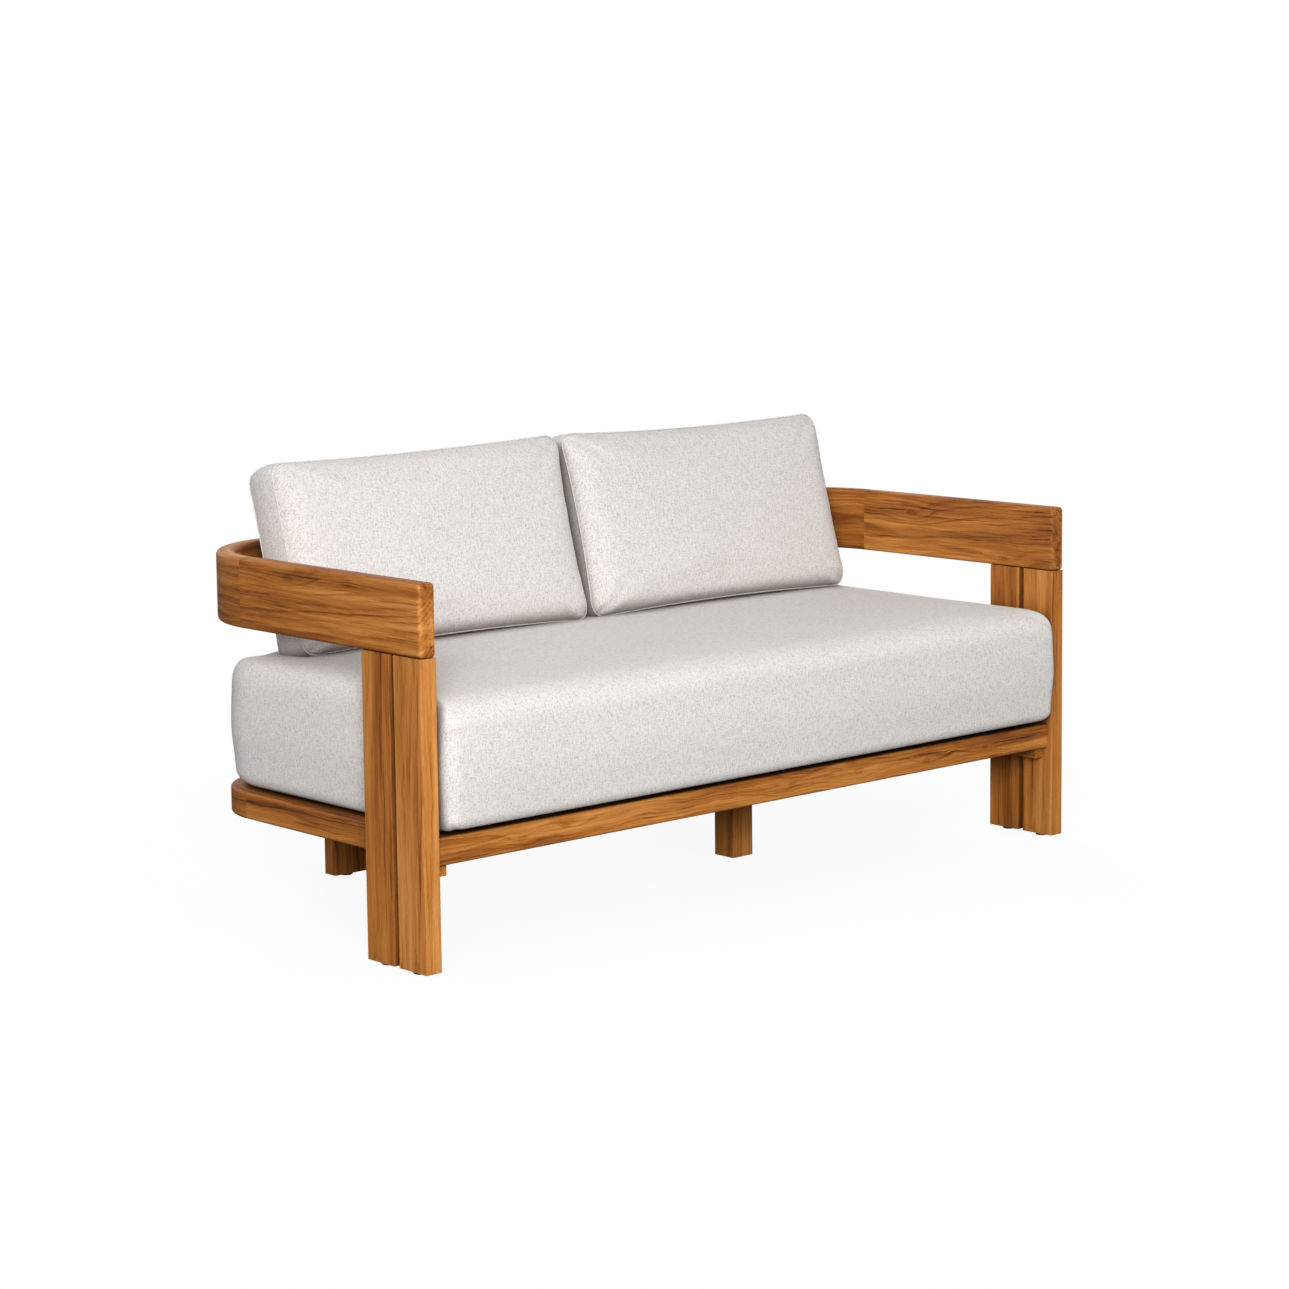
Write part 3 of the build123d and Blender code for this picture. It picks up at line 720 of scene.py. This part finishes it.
class Cushion:
    """Closed quad mesh: a front or top sheet, rings round the side, and a rear or bottom sheet."""

    def __init__(self, columns, rows):
        self.columns = columns
        self.rows = rows
        self.points = []
        self.faces = []
        self.border = self.find_border()

    def find_border(self):
        last_column, last_row = len(self.columns) - 1, len(self.rows) - 1
        border = [(i, 0) for i in range(last_column)]
        border += [(last_column, j) for j in range(last_row)]
        border += [(i, last_row) for i in range(last_column, 0, -1)]
        border += [(0, j) for j in range(last_row, 0, -1)]
        return border

    def add_sheet(self, shape, flip):
        """One sheet from shape(s, t) for each grid place; returns the indices of its border."""
        start = len(self.points)
        height = len(self.rows)
        for s in self.columns:
            for t in self.rows:
                self.points.append(shape(s, t))
        for i in range(len(self.columns) - 1):
            for j in range(height - 1):
                here = start + i * height + j
                quad = [here, here + height, here + height + 1, here + 1]
                self.faces.append(quad[::-1] if flip else quad)
        return [start + i * height + j for i, j in self.border]

    def add_ring(self, shape):
        """One ring from shape(s, t) for each place of the border."""
        start = len(self.points)
        for i, j in self.border:
            self.points.append(shape(self.columns[i], self.rows[j]))
        return list(range(start, start + len(self.border)))

    def join(self, upper, lower):
        """A band of quads between two rings; returns the lower ring."""
        count = len(upper)
        for index in range(count):
            after = (index + 1) % count
            self.faces.append([upper[index], lower[index], lower[after], upper[after]])
        return lower

    def build(self, name):
        mesh = bpy.data.meshes.new(name)
        mesh.from_pydata(self.points, [], self.faces)
        mesh.validate()
        mesh.update()
        piece = bpy.data.objects.new(name, mesh)
        bpy.context.scene.collection.objects.link(piece)
        return piece


def positions(mesh):
    values = np.empty(len(mesh.vertices) * 3, np.float32)
    mesh.vertices.foreach_get("co", values)
    return values.reshape(-1, 3).astype(float)


def set_positions(mesh, values):
    mesh.vertices.foreach_set("co", values.astype(np.float32).ravel())
    mesh.update()


# Values of the cloth simulation, in Blender's units.
cloth_frames = 14
cloth_quality = 6
cloth_mass = 0.3
cloth_stretch_stiffness = 12
cloth_shear_stiffness = 5
cloth_bending_stiffness = 0.6

# Share of its own movement that a vertex keeps in each round of evening out.
own_movement_share = 0.4


def spread_out(piece, moved, rounds):
    """Evens out the movement of neighbouring vertices."""
    ends = np.empty(len(piece.data.edges) * 2, np.int32)
    piece.data.edges.foreach_get("vertices", ends)
    first, second = ends.reshape(-1, 2).T
    count = np.bincount(ends, minlength=len(moved))[:, None]
    for _ in range(rounds):
        total = np.zeros_like(moved)
        np.add.at(total, first, moved[second])
        np.add.at(total, second, moved[first])
        moved = own_movement_share * moved + (1 - own_movement_share) * total / count
    return moved


def inflate(piece, pressure, slack, cap, rounds, pins=None):
    """Short cloth simulation under inner pressure; no point moves further than the cap."""
    before = positions(piece.data)
    modifier = piece.modifiers.new("cloth", "CLOTH")
    settings = modifier.settings
    settings.quality = cloth_quality
    settings.mass = cloth_mass
    settings.tension_stiffness = cloth_stretch_stiffness
    settings.compression_stiffness = cloth_stretch_stiffness
    settings.shear_stiffness = cloth_shear_stiffness
    settings.bending_stiffness = cloth_bending_stiffness
    settings.use_pressure = True
    settings.uniform_pressure_force = pressure
    settings.effector_weights.gravity = 0
    settings.shrink_min = -slack
    settings.shrink_max = -slack
    modifier.collision_settings.use_collision = False
    modifier.collision_settings.use_self_collision = False
    if pins is not None:
        group = piece.vertex_groups.new(name="seam")
        group.add(pins, 1.0, "REPLACE")
        settings.vertex_group_mass = "seam"
        settings.pin_stiffness = 1.0
    modifier.point_cache.frame_start = 1
    modifier.point_cache.frame_end = cloth_frames
    for number in range(1, cloth_frames + 1):
        bpy.context.scene.frame_set(number)
    shown = piece.evaluated_get(bpy.context.evaluated_depsgraph_get())
    after = positions(shown.data)
    piece.modifiers.remove(modifier)
    bpy.context.scene.frame_set(1)
    moved = after - before
    length = np.linalg.norm(moved, axis=1, keepdims=True)
    limited = moved * (np.tanh(length / cap) * cap / np.maximum(length, 1e-9))
    set_positions(piece.data, before + spread_out(piece, limited, rounds))


def smooth_faces(mesh):
    for polygon in mesh.polygons:
        polygon.use_smooth = True


def smooth_and_subdivide(piece):
    smooth_faces(piece.data)
    modifier = piece.modifiers.new("subdivide", "SUBSURF")
    modifier.levels = 1
    modifier.render_levels = 1
    shown = piece.evaluated_get(bpy.context.evaluated_depsgraph_get())
    finer = bpy.data.meshes.new_from_object(shown)
    piece.modifiers.clear()
    old = piece.data
    piece.data = finer
    bpy.data.meshes.remove(old)
    smooth_faces(piece.data)


def ripple(place, scales, offset=0.0):
    """Smooth noise about zero, with repeats per metre along each axis; the offset gives another one."""
    x, y, z = place
    return noise.noise(Vector((x * scales[0], y * scales[1], z * scales[2] + offset)))


# Seat cushion

seat_low, seat_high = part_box("seat_cushion")
seat_half_x = (seat_high.x - seat_low.x) / 2
seat_half_y = (seat_high.y - seat_low.y) / 2
seat_middle_y = (seat_high.y + seat_low.y) / 2
seat_corners = (0.026, 0.135)
seat_spacing = 0.015
seat_edge_columns = 9
seat_edge_rows = 10
seat_side_rows = 14
seat_under_rows = 7

seat_shoulder_height = 0.047
seat_shoulder_front = 0.070
seat_shoulder_rear = 0.050
seat_shoulder_side = 0.030
seat_shoulder_power = 2.3
seat_crown = 0.010
seat_crown_reach = 0.10
seat_bow = 0.005
seat_ear = 0.006
seat_ear_power_x = 8
seat_ear_power_y = 24
seat_draw_low = 0.004
seat_draw_high = 0.002

# The underside rolls in to a lip that hangs clear of the rails, and rests on a foot further in.
seat_under_height = 0.030
seat_under_reach = 0.014
seat_under_power = 1.9
seat_lift_side = 0.006
seat_lift_front = 0.012
seat_lift_front_share = 0.12
seat_lip_reach = 0.050
seat_lip_middle_share = 0.7
seat_foot_reach = 0.085

seat_pressure = 1.0
seat_swell = 0.002
seat_swell_rounds = 14

seat_wrinkle_start_share = 0.45
seat_dent_depth = 0.0012
seat_dent_scales = (3.4, 4.2, 2.0)
seat_dent_offset = 7
seat_crease_depth = 0.0030
seat_crease_scales = (26, 5, 5)
seat_crease_offset = 3
seat_crease_inset = 0.06
seat_crease_width = 0.11
seat_patch_scale = 3.1
seat_patch_row = (4, 2)
seat_patch_share = 0.15


def shoulder(distance, reach):
    """Share of the shoulder's full rise at a distance in from the edge."""
    share = max(0.0, 1 - distance / reach)
    return (1 - share ** seat_shoulder_power) ** (1 / seat_shoulder_power)


def seat_place(s, t, inset):
    """Plan place: bowed front, and front corners that swell towards the legs."""
    x, y = sheet_place(s, t, seat_half_x - inset, seat_half_y - inset, seat_corners)
    if y < 0:
        y += seat_bow * (x / seat_half_x) ** 2 * (y / seat_half_y) ** 2
        ear_share = abs(x / seat_half_x) ** seat_ear_power_x * abs(y / seat_half_y) ** seat_ear_power_y
        x += math.copysign(seat_ear, x) * ear_share
    return x, seat_middle_y + y


def seat_wrinkles(piece):
    """Shallow dents over the upper half, and short creases in patches over the front shoulder."""
    for vertex in piece.data.vertices:
        x, y, z = vertex.co
        height = (z - seat_low.z) / (seat_high.z - seat_low.z)
        over = max(0.0, height - seat_wrinkle_start_share) / (1 - seat_wrinkle_start_share)
        front = math.exp(-((y - seat_low.y - seat_crease_inset) / seat_crease_width) ** 2)
        dent = ripple((x, y, z), seat_dent_scales, seat_dent_offset)
        patch = max(0.0, noise.noise(Vector((x * seat_patch_scale, *seat_patch_row))) + seat_patch_share)
        crease = ripple((x, y, z), seat_crease_scales, seat_crease_offset) * patch
        dent_height = seat_dent_depth * dent * min(1.0, over * 3)
        vertex.co += vertex.normal * (dent_height + seat_crease_depth * crease * front * over)


def seat_draw(share):
    """Inset of the side at a share of its height: none at the middle, most at both ends."""
    off = 2 * share - 1
    return (seat_draw_low if off < 0 else seat_draw_high) * off ** 2 * (3 - 2 * abs(off))


def seat_edge_height(t):
    """Height of the lip, which hangs clear of the rails, most at the front."""
    front_share = max(0.0, (seat_lift_front_share - 1 - t) / seat_lift_front_share) ** 2
    return seat_low.z + seat_lift_side + (seat_lift_front - seat_lift_side) * front_share


def make_seat():
    side_top = seat_high.z - seat_shoulder_height - seat_crown
    under_top = seat_low.z + seat_under_height
    columns = clustered(seat_half_x, seat_edge_columns, seat_shoulder_side, seat_spacing)
    rows = clustered(seat_half_y, seat_edge_rows, seat_shoulder_front, seat_spacing)
    cushion = Cushion(columns, rows)

    def top(s, t):
        x, y = seat_place(s, t, seat_draw_high)
        aside = seat_half_x * (1 - abs(s))
        back = seat_half_y * (1 - abs(t))
        fall_aside = 1 - shoulder(aside, seat_shoulder_side)
        fall_back = 1 - shoulder(back, seat_shoulder_front if t < 0 else seat_shoulder_rear)
        rise = 1 - min(1.0, (fall_aside ** 3 + fall_back ** 3) ** (1 / 3))
        crown = (1 - math.exp(-aside / seat_crown_reach)) * (1 - math.exp(-back / seat_crown_reach))
        return x, y, side_top + seat_shoulder_height * rise + seat_crown * crown

    def bottom(s, t):
        return *seat_place(s, t, seat_foot_reach), seat_low.z

    edge = cushion.add_sheet(top, False)
    for row in range(1, seat_side_rows + 1):
        share = 1 - row / seat_side_rows
        height = under_top + (side_top - under_top) * share
        inset = seat_draw(share)
        edge = cushion.join(edge, cushion.add_ring(lambda s, t: (*seat_place(s, t, inset), height)))
    for row in range(1, seat_under_rows):
        angle = math.pi / 2 * row / seat_under_rows
        inset = seat_draw_low + seat_under_reach * (1 - math.cos(angle) ** (2 / seat_under_power))
        drop = math.sin(angle) ** (2 / seat_under_power)
        edge = cushion.join(edge, cushion.add_ring(lambda s, t: (
            *seat_place(s, t, inset), under_top + (seat_edge_height(t) - under_top) * drop)))
    lip_start = seat_draw_low + seat_under_reach
    for inset in (lip_start, seat_lip_reach * seat_lip_middle_share, seat_lip_reach):
        edge = cushion.join(edge, cushion.add_ring(lambda s, t: (
            *seat_place(s, t, inset), seat_edge_height(t))))
    cushion.join(edge, cushion.add_sheet(bottom, True))
    piece = cushion.build("seat_cushion_cover")
    inflate(piece, seat_pressure, 0.0, seat_swell, seat_swell_rounds)
    seat_wrinkles(piece)
    smooth_and_subdivide(piece)
    piece.data.materials.append(fabric("seat_fabric"))
    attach(piece, "seat_cushion_body")
    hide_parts("seat_cushion", "seat_cushion_core")


# Back cushions

back_half_width = 0.356
back_height = 0.378
back_corner = 0.032
back_foot_inset = 0.0145
back_spacing = 0.0095
back_edge_steps = 6
back_edge_band = 0.05

# Panels: round near the seam, domed towards the middle.
back_front_crown = 0.042
back_rear_crown = 0.050
back_edge_crown = 0.027
back_edge_reach = 0.040
back_crown_power = 2.2
back_gusset = 0.077
gusset_rows = 7
gusset_bulge = 0.004

# Outline: sides drawn in, and ends that hang, stand out or draw in, differently on each cushion.
back_bow_side = 0.004
back_bow_top = 0.009
back_droop = {"left": 0.011, "right": 0.0}
back_reach = {"left": -0.005, "right": 0.005}
back_retreat = {"left": 0.009, "right": 0.002}
back_inner_side = {"left": 1, "right": -1}
back_inner_bow = 0.006
back_inner_power = 8

back_pressure = 1.5
back_slack = 0.004
back_swell = 0.006
back_swell_rounds = 1

pucker_depth = 0.0011
pucker_scales = (34, 30, 34)
pucker_reach = 0.012
back_dent_depth = 0.0018
back_dent_scales = (6.5, 5, 6.5)
back_dent_offset = 11
back_dent_start = 0.05

welt_radius = 0.0015
welt_sides = 8


def back_place(side, s, t, reach_out=0.0):
    """Place in the cushion's own plane, its sides drawn in between the corners."""
    half_height = back_height / 2
    x, v = sheet_place(s, t, back_half_width + reach_out, half_height + reach_out,
                       (back_corner, back_corner))
    draw_x = back_bow_side * (1 - (v / half_height) ** 2)
    draw_v = back_bow_top * (1 - (x / back_half_width) ** 2)
    x -= math.copysign(draw_x * min(1, abs(x) / back_half_width) ** 3, x)
    v -= math.copysign(draw_v * min(1, abs(v) / half_height) ** 3, v)
    upper = (v + half_height) / back_height
    left = (1 - x / back_half_width) / 2
    v -= back_droop[side] * left ** 2 * upper
    x += back_reach[side] * (1 - left) ** 4 + back_retreat[side] * left ** 4
    inner = back_inner_side[side]
    inner_share = left if inner < 0 else 1 - left
    x -= inner * back_inner_bow * (1 - (2 * upper - 1) ** 2) * inner_share ** back_inner_power
    return x, v + half_height


def back_wrinkles(piece, seams):
    """Puckers that run off the seams and fade within the panels, and wide shallow dents."""
    tree = kdtree.KDTree(sum(len(seam) for seam in seams))
    for index, point in enumerate(point for seam in seams for point in seam):
        tree.insert(point, index)
    tree.balance()
    for vertex in piece.data.vertices:
        x, y, z = vertex.co
        far = tree.find(vertex.co)[2]
        pucker = ripple((x, y, z), pucker_scales) * far / pucker_reach * math.exp(1 - far / pucker_reach)
        dent = ripple((x, y, z), back_dent_scales, back_dent_offset) * min(1.0, far / back_dent_start)
        vertex.co += vertex.normal * (pucker_depth * pucker + back_dent_depth * dent)


def back_crown(s, t, full):
    """Rise of a panel over its seam: round near the edge, gently domed beyond it."""
    def edge(distance):
        share = max(0.0, 1 - distance / back_edge_reach)
        return math.sqrt(1 - share ** 2)

    rim = edge(back_half_width * (1 - abs(s))) * edge(back_height / 2 * (1 - abs(t)))
    dome = (1 - abs(s) ** back_crown_power) * (1 - abs(t) ** back_crown_power)
    return back_edge_crown * rim + (full - back_edge_crown) * dome


def make_back(side):
    low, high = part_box(f"back_cushion_{side}")
    foot = Vector(((low.x + high.x) / 2, low.y + back_foot_inset, low.z))
    across = Vector((1, 0, 0))
    upward = Vector((0, math.sin(cushion_lean), math.cos(cushion_lean)))
    forward = Vector((0, -math.cos(cushion_lean), math.sin(cushion_lean)))
    columns = clustered(back_half_width, back_edge_steps, back_edge_band, back_spacing)
    rows = clustered(back_height / 2, back_edge_steps, back_edge_band, back_spacing)
    cushion = Cushion(columns, rows)

    def put(x, v, depth):
        return foot + across * x + upward * v + forward * depth

    def front(s, t):
        return put(*back_place(side, s, t), back_crown(s, t, back_front_crown))

    def rear(s, t):
        return put(*back_place(side, s, t), -back_gusset - back_crown(s, t, back_rear_crown))

    front_seam = cushion.add_sheet(front, False)
    edge = front_seam
    for row in range(1, gusset_rows):
        share = row / gusset_rows
        swell = gusset_bulge * 4 * share * (1 - share)
        edge = cushion.join(edge, cushion.add_ring(
            lambda s, t: put(*back_place(side, s, t, swell), -back_gusset * share)))
    rear_seam = cushion.join(edge, cushion.add_sheet(rear, True))
    piece = cushion.build(f"back_cushion_{side}_cover")
    inflate(piece, back_pressure, back_slack, back_swell, back_swell_rounds, front_seam + rear_seam)
    vertices = piece.data.vertices
    seams = [[vertices[index].co.copy() for index in loop] for loop in (front_seam, rear_seam)]
    back_wrinkles(piece, seams)
    smooth_and_subdivide(piece)
    piece.data.materials.append(fabric(f"back_fabric_{side}", -cushion_lean, back_fabric_painted_shade))
    body = f"back_cushion_{side}_body"
    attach(piece, body)
    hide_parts(f"back_cushion_{side}", f"back_cushion_core_{side}")
    for label, points in zip(("front", "rear"), seams):
        welt = tube(f"back_cushion_{side}_{label}_welt", points, welt_radius, welt_sides)
        material = fabric(f"welt_fabric_{side}_{label}", -cushion_lean, welt_fabric_painted_highlight)
        welt.data.materials.append(material)
        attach(welt, body)


def tube(name, points, radius, sides):
    """Closed round tube through a loop of points."""
    count = len(points)
    vertices = []
    faces = []
    first = None
    for index, point in enumerate(points):
        way = (points[(index + 1) % count] - points[index - 1]).normalized()
        first = way.orthogonal() if first is None else first - way * first.dot(way)
        first.normalize()
        second = way.cross(first)
        for step in range(sides):
            angle = 2 * math.pi * step / sides
            vertices.append(point + (first * math.cos(angle) + second * math.sin(angle)) * radius)
    for index in range(count):
        here = index * sides
        after = (index + 1) % count * sides
        for step in range(sides):
            beside = (step + 1) % sides
            faces.append([here + step, here + beside, after + beside, after + step])
    mesh = bpy.data.meshes.new(name)
    mesh.from_pydata(vertices, [], faces)
    mesh.update()
    smooth_faces(mesh)
    piece = bpy.data.objects.new(name, mesh)
    bpy.context.scene.collection.objects.link(piece)
    return piece


bpy.context.scene.view_settings.view_transform = "Standard"
make_camera()
make_world()
make_floor()
make_lamps()
finish_wood()
finish_fittings()
make_seat()
make_back("left")
make_back("right")
